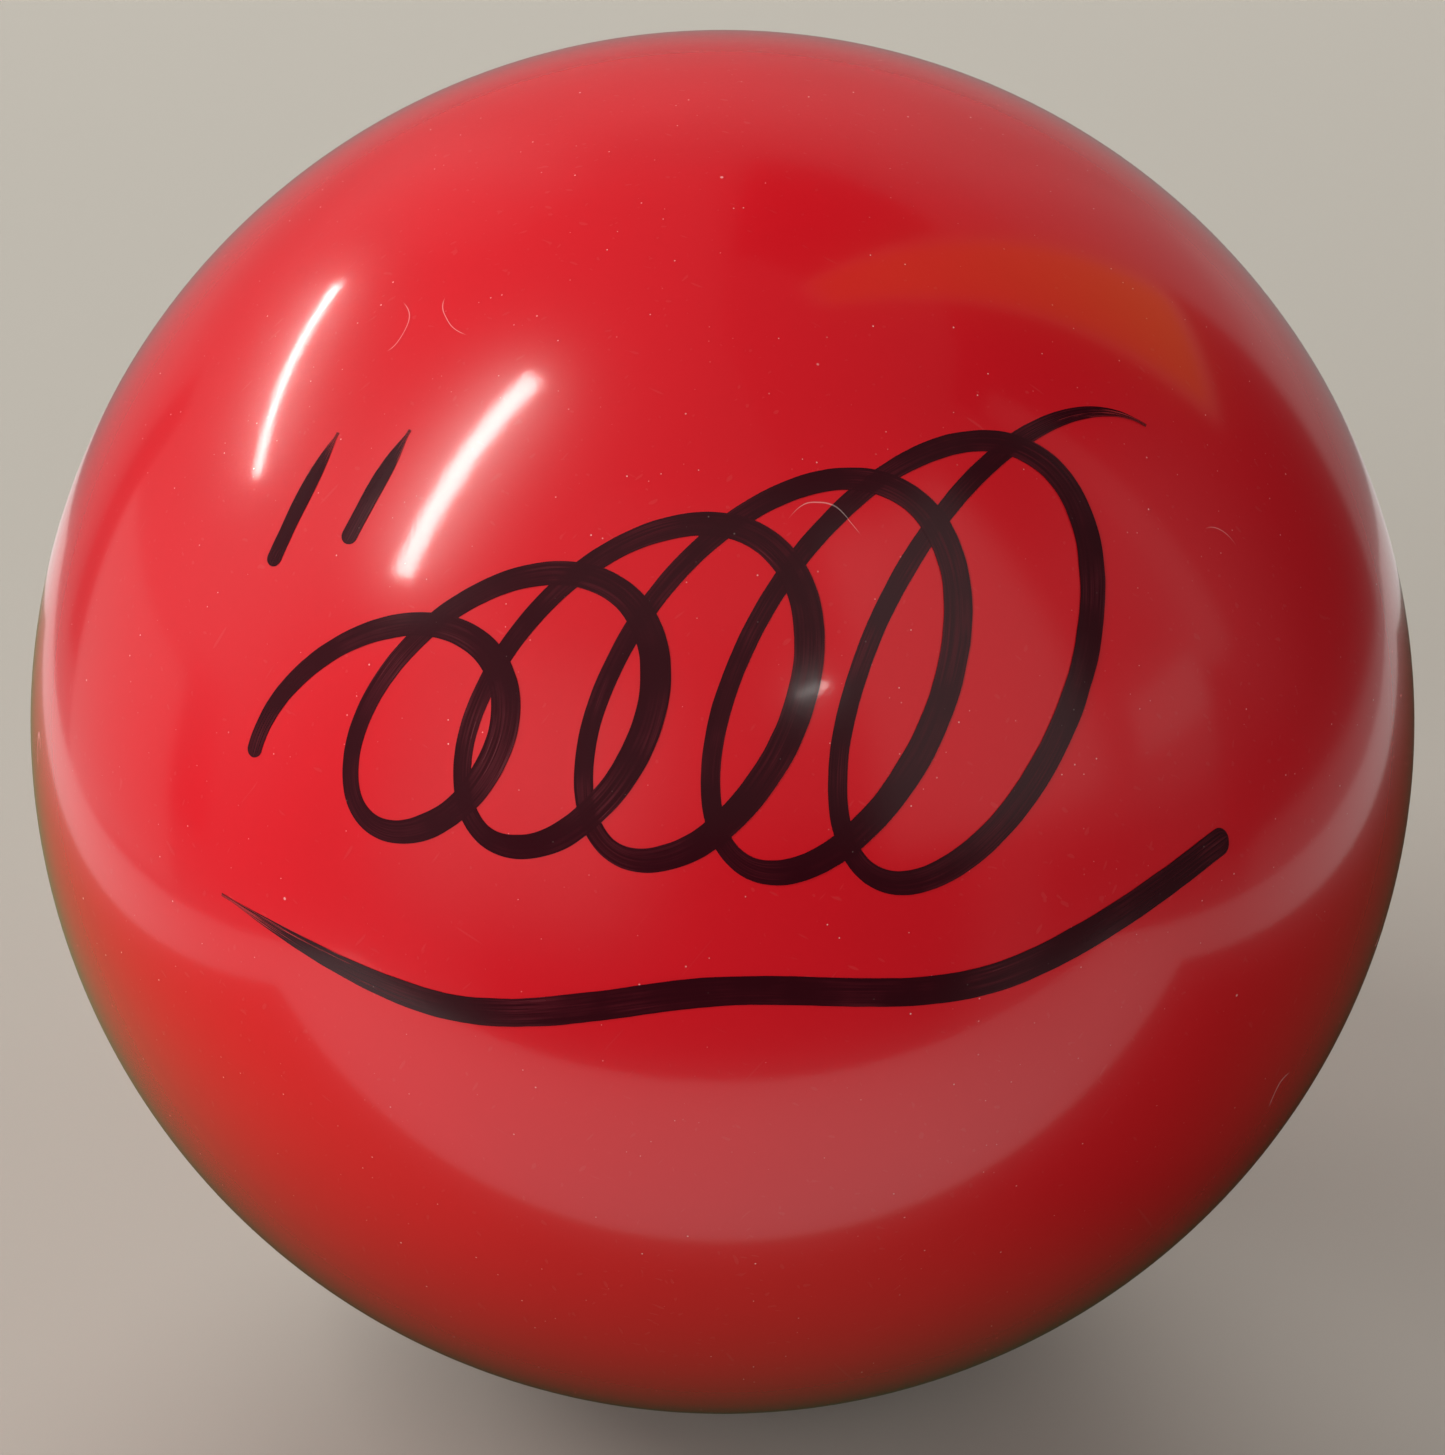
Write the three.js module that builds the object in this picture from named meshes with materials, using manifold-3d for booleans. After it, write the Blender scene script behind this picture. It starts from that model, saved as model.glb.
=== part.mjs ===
// A red snooker object ball with a hand-drawn marker flourish on one side.
//
// Units are millimetres, +Z is up, and the origin is the centre of the ball. The ball is one
// solid casting, ground round, so it has no core, seam or insert. The flourish is four separate
// strokes of marker ink, each a thin film lying on the polished surface: it is a scribble and
// spells nothing. The marked side faces -Y, tilted up.
import * as THREE from "three";
import { mergeVertices } from "three/addons/utils/BufferGeometryUtils.js";
import Module from "manifold-3d";

// Ball
const BALL_DIAMETER = 52.5; // the standard snooker ball
const BALL_RADIUS = BALL_DIAMETER / 2;
const BALL_SUBDIVISION = 13; // leaves 14 facets along each edge of the icosahedron it starts from

// Marked side: how far its middle is turned up from level
const MARK_ELEVATION = THREE.MathUtils.degToRad(27);

// Ink film: it lies just clear of the ball, and a falling stroke lies over a rising one
const INK_CLEARANCE = 0.02;
const INK_THICKNESS = 0.045;
const INK_OVERLAP_LIFT = 0.02;
const INK_SECTION_STEP = 0.9; // distance between cross-sections along a stroke
const INK_LANDING_SECTIONS = 4; // extra cross-sections that round the end where the pen lands
const INK_LEAST_WIDTH = 0.12; // width left at the very tip of a stroke
const CURVE_DIVISIONS = 4000; // how finely a stroke's length is measured

// Pen width on a rising stroke, and what the harder press of a falling stroke adds
const PEN_WIDTH = 0.62;
const PEN_PRESS_WIDTH = 0.36;

// Coil: a row of overlapping clockwise loops that grow to the right, in millimetres of arc across
// and up the marked side, and ending in a lifted tail
const COIL_TURNS = 5.35;
const COIL_FIRST_TURN = -0.3; // where on its first loop the pen starts, counted from the top
const COIL_START = { across: -13.2, up: -0.3, halfWidth: 3.4, halfHeight: 3.1 };
const COIL_END = { across: 11.2, up: 2.9, halfWidth: 5.1, halfHeight: 8.4 };
const COIL_SLANT = 0.35;
const COIL_LIFT_LENGTH = 7;

// Underline: from its blunt start on the right to its lifted end on the left
const UNDERLINE_POINTS = [
  new THREE.Vector2(18.6, -4.2),
  new THREE.Vector2(9.4, -8.7),
  new THREE.Vector2(0, -8.9),
  new THREE.Vector2(-9.4, -9.8),
  new THREE.Vector2(-18.6, -6.4),
];
const UNDERLINE_EXTRA_WIDTH = 0.22;
const UNDERLINE_LIFT_LENGTH = 10;

// Two ticks above the small end of the coil, each lifted at its upper end
const LEFT_TICK_POINTS = [
  new THREE.Vector2(-16.2, 5.6),
  new THREE.Vector2(-15.2, 7.7),
  new THREE.Vector2(-13.8, 10.4),
];
const RIGHT_TICK_POINTS = [
  new THREE.Vector2(-13.1, 6.2),
  new THREE.Vector2(-12.1, 8.1),
  new THREE.Vector2(-10.9, 10.2),
];
const TICK_LIFT_LENGTH = 2.5;

// Finishes
const RESIN = { color: 0xc8141f, roughness: 0.08 };
const INK = { color: 0x1b0d12, roughness: 0.3 };

const wasm = await Module();
wasm.setup();

// The marked side's own directions: to its right, up it, and straight out of its middle
const RIGHTWARD = new THREE.Vector3(1, 0, 0);
const UPWARD = new THREE.Vector3(0, Math.sin(MARK_ELEVATION), Math.cos(MARK_ELEVATION));
const OUTWARD = new THREE.Vector3(0, -Math.cos(MARK_ELEVATION), Math.sin(MARK_ELEVATION));

// The coil as a pen draws it.
class CoilLine extends THREE.Curve {
  getPoint(t, target = new THREE.Vector2()) {
    const { lerp } = THREE.MathUtils;
    const turn = 2 * Math.PI * (COIL_FIRST_TURN + COIL_TURNS * t);
    const rise = lerp(COIL_START.halfHeight, COIL_END.halfHeight, t) * Math.cos(turn);
    const swing = lerp(COIL_START.halfWidth, COIL_END.halfWidth, t) * Math.sin(turn);
    const across = lerp(COIL_START.across, COIL_END.across, t) + swing + COIL_SLANT * rise;
    const up = lerp(COIL_START.up, COIL_END.up, t) + rise;
    return target.set(across, up);
  }
}

// The direction from the ball's centre to a point of the marked side, which is given in
// millimetres of arc from the middle of that side.
function directionAt(point) {
  const reach = point.length();
  const turn = reach / BALL_RADIUS;
  const sideways = reach > 0 ? Math.sin(turn) / reach : 0;
  return new THREE.Vector3()
    .addScaledVector(OUTWARD, Math.cos(turn))
    .addScaledVector(RIGHTWARD, point.x * sideways)
    .addScaledVector(UPWARD, point.y * sideways);
}

// How much of its full width a stroke has near the end where the pen lands, which is round.
function landing(distance, length) {
  const part = Math.min(distance / length, 1);
  return Math.sqrt(part * (2 - part));
}

// The same where the pen lifts off, which thins out to a point.
function lifting(distance, length) {
  const part = Math.min(distance / length, 1);
  return part * (2 - part);
}

// Distances along a stroke where it has a cross-section: even steps, with more where its first
// end is rounded.
function sectionDistances(length, landingLength) {
  const distances = [];
  for (let i = 0; i < INK_LANDING_SECTIONS; i += 1) {
    const quarterPart = (Math.PI / 2) * (i / INK_LANDING_SECTIONS);
    distances.push(landingLength * (1 - Math.cos(quarterPart)));
  }
  const rest = length - landingLength;
  const steps = Math.round(rest / INK_SECTION_STEP);
  for (let i = 0; i <= steps; i += 1) {
    distances.push(landingLength + (rest * i) / steps);
  }
  return distances;
}

// One cross-section of the film: inner right, inner left, outer left and outer right corners.
function crossSection(centre, heading, width, press) {
  const aside = new THREE.Vector2(-heading.y, heading.x).multiplyScalar(width / 2);
  const left = directionAt(centre.clone().add(aside));
  const right = directionAt(centre.clone().sub(aside));
  const inner = BALL_RADIUS + INK_CLEARANCE + press * INK_OVERLAP_LIFT;
  const outer = inner + INK_THICKNESS;
  return {
    rising: heading.y >= 0,
    corners: [
      right.clone().multiplyScalar(inner),
      left.clone().multiplyScalar(inner),
      left.clone().multiplyScalar(outer),
      right.clone().multiplyScalar(outer),
    ],
  };
}

// A closed film through a run of cross-sections.
function filmSolid(sections) {
  const ring = sections[0].corners.length;
  const triangles = [0, 2, 1, 0, 3, 2];
  for (let i = 0; i < sections.length - 1; i += 1) {
    for (let k = 0; k < ring; k += 1) {
      const a = i * ring + k;
      const b = i * ring + ((k + 1) % ring);
      triangles.push(a, b, b + ring, a, b + ring, a + ring);
    }
  }
  const last = (sections.length - 1) * ring;
  triangles.push(last, last + 1, last + 2, last, last + 2, last + 3);
  const points = sections.flatMap((section) => section.corners);
  const film = new THREE.BufferGeometry().setFromPoints(points).setIndex(triangles);
  return new wasm.Manifold(
    new wasm.Mesh({
      numProp: 3,
      vertProperties: film.getAttribute("position").array,
      triVerts: new Uint32Array(film.index.array),
    }),
  );
}

// The cross-sections in runs that only rise or only fall, so no run crosses itself. Neighbouring
// runs share the cross-section where the pen turns.
function splitAtTurns(sections) {
  const runs = [[sections[0]]];
  sections.slice(1).forEach((section, i) => {
    const previous = sections[i];
    runs.at(-1).push(section);
    if (section.rising !== previous.rising) {
      runs.push([section]);
    }
  });
  return runs.filter((run) => run.length > 1);
}

// One stroke of the pen as a single closed film: blunt where the pen lands, thinning out over
// liftLength where it leaves. Where the stroke crosses itself the two passes join.
function inkGeometry(curve, liftLength, extraWidth = 0) {
  curve.arcLengthDivisions = CURVE_DIVISIONS;
  const length = curve.getLength();
  const landingLength = (PEN_WIDTH + extraWidth) / 2;
  const sections = sectionDistances(length, landingLength).map((distance) => {
    const heading = curve.getTangentAt(distance / length);
    const press = (1 - heading.y) / 2;
    const fullWidth = PEN_WIDTH + extraWidth + press * PEN_PRESS_WIDTH;
    const landed = landing(distance, landingLength);
    const width = fullWidth * landed * lifting(length - distance, liftLength);
    const centre = curve.getPointAt(distance / length);
    return crossSection(centre, heading, Math.max(width, INK_LEAST_WIDTH), press);
  });
  const joined = splitAtTurns(sections)
    .map(filmSolid)
    .reduce((whole, run) => whole.add(run));
  const mesh = joined.getMesh();
  return new THREE.BufferGeometry()
    .setAttribute("position", new THREE.BufferAttribute(mesh.vertProperties, 3))
    .setIndex(new THREE.BufferAttribute(mesh.triVerts, 1));
}

function ballGeometry() {
  const facets = new THREE.IcosahedronGeometry(BALL_RADIUS, BALL_SUBDIVISION);
  facets.deleteAttribute("normal");
  facets.deleteAttribute("uv");
  return mergeVertices(facets);
}

function addPart(group, name, geometry, { color, roughness }) {
  const material = new THREE.MeshStandardMaterial({ color, roughness, metalness: 0 });
  const mesh = new THREE.Mesh(geometry, material);
  mesh.name = name;
  group.add(mesh);
}

const ball = new THREE.Group();
addPart(ball, "ball", ballGeometry(), RESIN);
addPart(ball, "ink_coil", inkGeometry(new CoilLine(), COIL_LIFT_LENGTH), INK);
const underline = new THREE.SplineCurve(UNDERLINE_POINTS);
addPart(
  ball,
  "ink_underline",
  inkGeometry(underline, UNDERLINE_LIFT_LENGTH, UNDERLINE_EXTRA_WIDTH),
  INK,
);
const leftTick = new THREE.SplineCurve(LEFT_TICK_POINTS);
addPart(ball, "ink_tick_left", inkGeometry(leftTick, TICK_LIFT_LENGTH), INK);
const rightTick = new THREE.SplineCurve(RIGHT_TICK_POINTS);
addPart(ball, "ink_tick_right", inkGeometry(rightTick, TICK_LIFT_LENGTH), INK);

export default ball;
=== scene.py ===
"""Marked snooker ball: a polished red resin ball with a black marker flourish on one side.

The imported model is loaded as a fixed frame, and every piece is built over one of its nodes.
Blender lengths are metres. The strokes are laid out in millimetres of arc on the marked side.
"""

import math

import bmesh
import bpy
import numpy as np
from bpy.props import FloatProperty, FloatVectorProperty, IntProperty, PointerProperty
from mathutils import Matrix, Vector, kdtree, noise


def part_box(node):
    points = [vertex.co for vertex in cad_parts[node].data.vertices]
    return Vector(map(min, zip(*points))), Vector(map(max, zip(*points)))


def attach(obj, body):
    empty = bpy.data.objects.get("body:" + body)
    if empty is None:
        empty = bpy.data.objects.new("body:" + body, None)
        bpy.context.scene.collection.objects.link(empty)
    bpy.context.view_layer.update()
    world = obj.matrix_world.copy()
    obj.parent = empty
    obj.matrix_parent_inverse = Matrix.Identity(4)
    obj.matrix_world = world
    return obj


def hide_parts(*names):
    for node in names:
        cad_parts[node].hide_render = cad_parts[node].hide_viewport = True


bl_info = {
    "name": "Marked Snooker Ball",
    "version": (1, 0, 0),
    "blender": (4, 5, 0),
    "location": "View3D > Sidebar > Snooker Ball",
    "description": "Builds a polished red resin ball with a marker flourish on one side",
    "category": "Object",
}

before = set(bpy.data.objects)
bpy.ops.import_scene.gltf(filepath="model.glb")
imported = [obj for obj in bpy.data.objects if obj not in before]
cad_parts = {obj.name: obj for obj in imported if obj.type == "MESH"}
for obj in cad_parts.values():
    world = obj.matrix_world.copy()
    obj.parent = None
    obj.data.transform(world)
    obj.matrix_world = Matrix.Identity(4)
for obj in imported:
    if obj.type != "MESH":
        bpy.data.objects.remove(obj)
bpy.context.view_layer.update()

MM = 0.001
BODY = "root"
BALL_NODE = "ball"
COIL_NODE = "ink_coil"
UNDERLINE_NODE = "ink_underline"
LEFT_TICK_NODE = "ink_tick_left"
RIGHT_TICK_NODE = "ink_tick_right"
BALL_RADIUS = max(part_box(BALL_NODE)[1])

# The marked side: its middle is turned up from level, facing -Y
MARK_ELEVATION = math.radians(27)
RIGHTWARD = Vector((1, 0, 0))
UPWARD = Vector((0, math.sin(MARK_ELEVATION), math.cos(MARK_ELEVATION)))
OUTWARD = Vector((0, -math.cos(MARK_ELEVATION), math.sin(MARK_ELEVATION)))

# Coil: clockwise loops that grow to the right, from (across, up, half width, half height) in
# millimetres where it starts to the same where it ends
COIL_TURNS = 5.35
COIL_FIRST_TURN = -0.3
COIL_START = np.array((-13.2, -0.3, 3.4, 3.1))
COIL_END = np.array((11.2, 2.9, 5.1, 8.4))
COIL_SLANT = 0.35
COIL_LIFT = 7.0

# Underline and ticks: points the pen passes, in millimetres across and up
UNDERLINE_POINTS = ((18.6, -4.2), (9.4, -8.7), (0.0, -8.9), (-9.4, -9.8), (-18.6, -6.4))
UNDERLINE_EXTRA = 0.22
UNDERLINE_LIFT = 10.0
LEFT_TICK_POINTS = ((-16.2, 5.6), (-15.2, 7.7), (-13.8, 10.4))
RIGHT_TICK_POINTS = ((-13.1, 6.2), (-12.1, 8.1), (-10.9, 10.2))
TICK_LIFT = 2.5

# How a stroke is drawn, in millimetres
CURVE_DIVISIONS = 4000
SECTION_STEP = 0.14
LANDING_SECTIONS = 8
LANES = 6
LEAST_WIDTH = 0.12
EDGE_WANDER = 0.022
EDGE_WANDER_PER_MM = 0.5
EDGE_WANDER_KIND = (1.0, 2.0, 3)  # dimension, lacunarity and octaves of its noise
EDGES_APART = 9.0  # keeps the two edges from wandering alike
DRY_SHARE = 1.6  # how much longer the drying stretch is than the lift
OVERLAP_APART = 3.0  # passes closer along the stroke than this are one pass
OVERLAP_SOFTNESS = 0.06
STROKE_VALUES = ("drawn", "across", "dryness", "overlap")  # what its mesh tells the ink
SHARP_EDGE = math.radians(40)

# Ink films stand this far off the ball, and a falling stroke this much further
FILM_CLEARANCE = 0.004
FILM_OVERLAP_LIFT = 0.014

# Six tiles of the ball's map, three across and two up, with a margin round each
TILE_COLUMNS = 3
TILE_ROWS = 2
TILE_MARGIN = 0.008

# Dust and polish. A layer of specks has its cells per metre, its largest radius and its share of
# empty cells. A rarity is the range of soft noise over which a mark comes in, and a plain number
# is features per metre.
DUST_SPECKS = (2600.0, 0.038 * MM, 0.3)
DUST_CRUMBS = (620.0, 0.07 * MM, 0.5)
FIBRE_CURLS = 330.0
FIBRE_EDGE = (0.004, 0.001)  # how near the middle line of a curl it comes in
FIBRE_PLACES = 170.0
FIBRE_RARITY = (0.775, 0.8)
POLISH_GRAIN = 6000.0
HAIRLINE_RARITY = (0.8, 0.86)
HAIRLINE_LAYS = (  # how each set is turned, and its features per metre along each axis
    ((0.4, 0.9, 0.2), (45.0, 5200.0, 5200.0)),
    ((1.1, -0.5, 1.3), (5200.0, 38.0, 5200.0)),
    ((-0.7, 0.3, 2.2), (5200.0, 5200.0, 52.0)),
)

# Resin: clouds and a finer mottle in its colour, and what lies on and in its polish
RESIN_CLOUDS = 90.0
RESIN_CLOUD_RANGE = (0.3, 0.7)
RESIN_CLOUD_SHARE = 0.65
RESIN_MOTTLE = 2600.0
RESIN_DEEP_SHARES = (0.94, 0.8, 0.85)
RESIN_DUST_COLOUR = (0.86, 0.5, 0.48, 1.0)
RESIN_FIBRES = 0.5
RESIN_HAIRLINES = 0.026
RESIN_GRAIN_DEPTH = 0.0013 * MM
RESIN_IOR = 1.36
HAZE_IOR = 1.4
HAZE_UNDER_DUST = 0.3
DUSTY_ROUGHNESS = 0.6

# Ink: marks that the pen's bristles leave, per millimetre drawn and across half a stroke, and
# patches per metre where the film is thin
BRISTLES_ALONG = 0.22
BRISTLES_ACROSS = 5.0
BRISTLE_RANGE = (0.4, 0.7)
INK_PATCHES = 420.0
INK_PATCH_RANGE = (0.35, 0.75)
INK_THIN_IN_OVERLAP = 0.15
INK_GAP_LIMITS = (0.95, 0.5)  # how strong a bristle's mark must be to leave a gap, wet and dry
INK_GAP_SOFTNESS = 0.06
INK_THIN_COLOUR = (0.085, 0.006, 0.012, 1.0)
INK_GAP_COLOUR = (0.4, 0.03, 0.035, 1.0)
INK_DUST_COLOUR = (0.5, 0.36, 0.34, 1.0)
INK_DUST_SHARE = 0.5
INK_SPECKS = 0.5
INK_CRUMBS = 0.8
INK_ROUGHNESS = (0.18, 0.28)  # where it is thick, and where it is thin
INK_COAT = (0.15, 0.05)  # where it is clean, and under dust
INK_COAT_ROUGHNESS = 0.09
INK_SPECULAR = 0.3
INK_GRAIN_DEPTH = 0.0012 * MM

# Camera: sensor and lens in millimetres, and how far under the ball's middle it aims, as a share
# of its distance
SENSOR_WIDTH = 36.0
LENS_LENGTH = 101.295
AIM_DROP = 0.001343


# ---------------------------------------------------------------- shader helpers


def set_inputs(tree, node, values):
    """Gives each of a node's named inputs its value, or the socket that it reads."""
    for key, value in values.items():
        if isinstance(value, bpy.types.NodeSocket):
            tree.links.new(value, node.inputs[key])
        else:
            node.inputs[key].default_value = value


def new_node(tree, kind, values=None, **properties):
    """A node with its properties and inputs set."""
    node = tree.nodes.new(kind)
    for name, value in properties.items():
        setattr(node, name, value)
    set_inputs(tree, node, values or {})
    return node


def calculate(tree, operation, *values):
    """The result of one Math node."""
    node = new_node(tree, "ShaderNodeMath", dict(enumerate(values)), operation=operation)
    return node.outputs["Value"]


def fade(tree, value, start, end, low=0.0, high=1.0):
    """Goes smoothly from low to high as value goes from start to end."""
    values = {"Value": value, "From Min": start, "From Max": end, "To Min": low, "To Max": high}
    node = new_node(tree, "ShaderNodeMapRange", values, interpolation_type="SMOOTHSTEP")
    return node.outputs["Result"]


def mix_colours(tree, factor, first, second):
    """A colour between first and second."""
    values = {0: factor, 6: first, 7: second}
    return new_node(tree, "ShaderNodeMix", values, data_type="RGBA").outputs[2]


def noise_value(tree, vector, scale, detail=2.0, roughness=0.5):
    """Soft noise between 0 and 1."""
    values = {"Vector": vector, "Scale": scale, "Detail": detail, "Roughness": roughness}
    return new_node(tree, "ShaderNodeTexNoise", values).outputs["Fac"]


def stretched(tree, vector, turn, scale):
    """The coordinates turned, then stretched differently along each axis."""
    values = {"Vector": vector, "Rotation": turn}
    turned = new_node(tree, "ShaderNodeMapping", values).outputs["Vector"]
    values = {"Vector": turned, "Scale": scale}
    return new_node(tree, "ShaderNodeMapping", values).outputs["Vector"]


def object_coordinates(tree):
    """Places on the piece itself, in metres."""
    return tree.nodes.new("ShaderNodeTexCoord").outputs["Object"]


def distance_from_middle(tree, vector):
    """How far a place is from the middle of the ball."""
    node = new_node(tree, "ShaderNodeVectorMath", {0: vector}, operation="LENGTH")
    return node.outputs["Value"]


def attribute_value(tree, name):
    """What a mesh's own attribute holds."""
    return new_node(tree, "ShaderNodeAttribute", attribute_name=name).outputs["Fac"]


def bump_normal(tree, height, depth):
    """The normal of a surface that a pattern raises by up to depth."""
    values = {"Height": height, "Strength": 1.0, "Distance": depth}
    return new_node(tree, "ShaderNodeBump", values).outputs["Normal"]


def new_group(name, inputs, outputs):
    """An empty shader group with named sockets, and its input and output nodes."""
    group = bpy.data.node_groups.new(name, "ShaderNodeTree")
    for socket_name, socket_type, default in inputs:
        socket = group.interface.new_socket(
            name=socket_name, in_out="INPUT", socket_type=socket_type
        )
        if default is not None:
            socket.default_value = default
    for socket_name in outputs:
        group.interface.new_socket(
            name=socket_name, in_out="OUTPUT", socket_type="NodeSocketFloat"
        )
    return group, group.nodes.new("NodeGroupInput"), group.nodes.new("NodeGroupOutput")


def use_group(tree, group, values):
    """A group placed in a node tree, with its own values."""
    return new_node(tree, "ShaderNodeGroup", values, node_tree=group)


def start_tree(blocks, name):
    """The material or world with a name, made if it isn't there yet, and its emptied tree."""
    block = blocks.get(name) or blocks.new(name)
    block.use_nodes = True
    block.node_tree.nodes.clear()
    return block, block.node_tree


# ---------------------------------------------------------------- shared effects


def speck_layer(tree, vector, cells_per_metre, radius, empty_share):
    """Round specks of mixed size and strength, one at most in each cell."""
    values = {"Vector": vector, "Scale": cells_per_metre}
    cells = new_node(tree, "ShaderNodeTexVoronoi", values)
    chance = new_node(tree, "ShaderNodeSeparateColor", {"Color": cells.outputs["Color"]})
    largest = radius * cells_per_metre
    reach = fade(tree, chance.outputs["Red"], empty_share, 1.0, 0.0, largest)
    depth = calculate(tree, "SUBTRACT", reach, cells.outputs["Distance"])
    spot = fade(tree, depth, 0.0, largest / 2)
    return calculate(tree, "MULTIPLY", spot, chance.outputs["Green"])


def dust_group():
    """Dust that has settled on a handled surface: fine specks, larger crumbs and a few fibres."""
    name = "Settled Dust"
    if name in bpy.data.node_groups:
        return bpy.data.node_groups[name]
    amounts = ("Specks", "Crumbs", "Fibres")
    inputs = [("Vector", "NodeSocketVector", None)]
    inputs += [(amount, "NodeSocketFloat", 1.0) for amount in amounts]
    group, start, end = new_group(name, inputs, ("Dust",))
    vector = start.outputs["Vector"]
    specks = speck_layer(group, vector, *DUST_SPECKS)
    crumbs = speck_layer(group, vector, *DUST_CRUMBS)
    curl = calculate(group, "SUBTRACT", noise_value(group, vector, FIBRE_CURLS, 0.0), 0.5)
    line = fade(group, calculate(group, "ABSOLUTE", curl), *FIBRE_EDGE)
    sparse = fade(group, noise_value(group, vector, FIBRE_PLACES, 0.0), *FIBRE_RARITY)
    fibres = calculate(group, "MULTIPLY", line, sparse)
    total = 0.0
    for layer, amount in zip((specks, crumbs, fibres), amounts, strict=True):
        total = calculate(group, "MULTIPLY_ADD", layer, start.outputs[amount], total)
    total = calculate(group, "MINIMUM", total, 1.0)
    group.links.new(total, end.inputs["Dust"])
    return group


def polish_group():
    """What polishing and handling leave in a glossy surface: a fine grain, and hairlines."""
    name = "Worn Polish"
    if name in bpy.data.node_groups:
        return bpy.data.node_groups[name]
    inputs = [("Vector", "NodeSocketVector", None)]
    group, start, end = new_group(name, inputs, ("Grain", "Hairlines"))
    vector = start.outputs["Vector"]
    hairlines = 0.0
    for turn, scale in HAIRLINE_LAYS:
        lines = noise_value(group, stretched(group, vector, turn, scale), 1.0, 0.0)
        lines = fade(group, lines, *HAIRLINE_RARITY)
        hairlines = calculate(group, "MAXIMUM", hairlines, lines)
    group.links.new(noise_value(group, vector, POLISH_GRAIN, 1.0), end.inputs["Grain"])
    group.links.new(hairlines, end.inputs["Hairlines"])
    return group


# ---------------------------------------------------------------- materials


def new_material(name):
    """A material with only its shader and output, its tree and the shader."""
    material, tree = start_tree(bpy.data.materials, name)
    shader = tree.nodes.new("ShaderNodeBsdfPrincipled")
    new_node(tree, "ShaderNodeOutputMaterial", {"Surface": shader.outputs["BSDF"]})
    return material, tree, shader


def resin_material(settings):
    """Solid cast resin under a hard polish: a deep colour, a sharp gloss and a faint haze."""
    material, tree, shader = new_material("Polished Red Resin")
    vector = object_coordinates(tree)
    red = tuple(settings.resin_colour)
    deep = [c * share for c, share in zip(red[:3], RESIN_DEEP_SHARES, strict=True)]
    clouds = noise_value(tree, vector, RESIN_CLOUDS, 3.0)
    clouds = fade(tree, clouds, *RESIN_CLOUD_RANGE, 0.0, RESIN_CLOUD_SHARE)
    mottle = noise_value(tree, vector, RESIN_MOTTLE, 1.0)
    depth = calculate(tree, "MULTIPLY_ADD", mottle, 1 - RESIN_CLOUD_SHARE, clouds)
    colour = mix_colours(tree, depth, (*deep, 1.0), red)
    values = {"Vector": vector, "Fibres": RESIN_FIBRES}
    dust = use_group(tree, dust_group(), values).outputs["Dust"]
    polish = use_group(tree, polish_group(), {"Vector": vector}).outputs
    hairlines = calculate(tree, "MULTIPLY", polish["Hairlines"], RESIN_HAIRLINES)
    marks = calculate(tree, "MULTIPLY_ADD", dust, settings.dust, hairlines)
    values = {
        "Base Color": mix_colours(tree, marks, colour, RESIN_DUST_COLOUR),
        "Roughness": fade(tree, dust, 0.0, 1.0, settings.gloss, DUSTY_ROUGHNESS),
        "Coat Weight": fade(tree, dust, 0.0, 1.0, 1.0, HAZE_UNDER_DUST),
        "Normal": bump_normal(tree, polish["Grain"], RESIN_GRAIN_DEPTH),
        "IOR": RESIN_IOR,
        "Coat IOR": HAZE_IOR,
        "Coat Roughness": settings.haze,
    }
    set_inputs(tree, shader, values)
    return material


def ink_material(settings):
    """Permanent marker ink: nearly black, a little maroon where it is thin, glossy but softer."""
    material, tree, shader = new_material("Marker Ink")
    vector = object_coordinates(tree)
    drawn, across, dryness, overlap = (attribute_value(tree, name) for name in STROKE_VALUES)
    values = {
        "X": calculate(tree, "MULTIPLY", drawn, BRISTLES_ALONG),
        "Y": calculate(tree, "MULTIPLY", across, BRISTLES_ACROSS),
    }
    lanes = new_node(tree, "ShaderNodeCombineXYZ", values).outputs["Vector"]
    bristle = noise_value(tree, lanes, 1.0, 3.0, 0.6)
    patchy = fade(tree, noise_value(tree, vector, INK_PATCHES, 2.0), *INK_PATCH_RANGE)
    thinness = calculate(tree, "MULTIPLY", patchy, fade(tree, bristle, *BRISTLE_RANGE))
    single = fade(tree, overlap, 0.0, 1.0, 1.0, INK_THIN_IN_OVERLAP)
    thinness = calculate(tree, "MULTIPLY", thinness, single)
    colour = mix_colours(tree, thinness, tuple(settings.ink_colour), INK_THIN_COLOUR)
    limit = fade(tree, dryness, 0.0, 1.0, *INK_GAP_LIMITS)
    gap = fade(tree, calculate(tree, "SUBTRACT", bristle, limit), 0.0, INK_GAP_SOFTNESS)
    colour = mix_colours(tree, gap, colour, INK_GAP_COLOUR)
    values = {"Vector": vector, "Specks": INK_SPECKS, "Crumbs": INK_CRUMBS}
    dust = use_group(tree, dust_group(), values).outputs["Dust"]
    dusty = calculate(tree, "MULTIPLY", dust, INK_DUST_SHARE)
    polish = use_group(tree, polish_group(), {"Vector": vector}).outputs
    values = {
        "Base Color": mix_colours(tree, dusty, colour, INK_DUST_COLOUR),
        "Roughness": fade(tree, thinness, 0.0, 1.0, *INK_ROUGHNESS),
        "Coat Weight": fade(tree, dust, 0.0, 1.0, *INK_COAT),
        "Normal": bump_normal(tree, polish["Grain"], INK_GRAIN_DEPTH),
        "Coat Roughness": INK_COAT_ROUGHNESS,
        "Specular IOR Level": INK_SPECULAR,
    }
    set_inputs(tree, shader, values)
    return material


# ---------------------------------------------------------------- pieces


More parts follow.
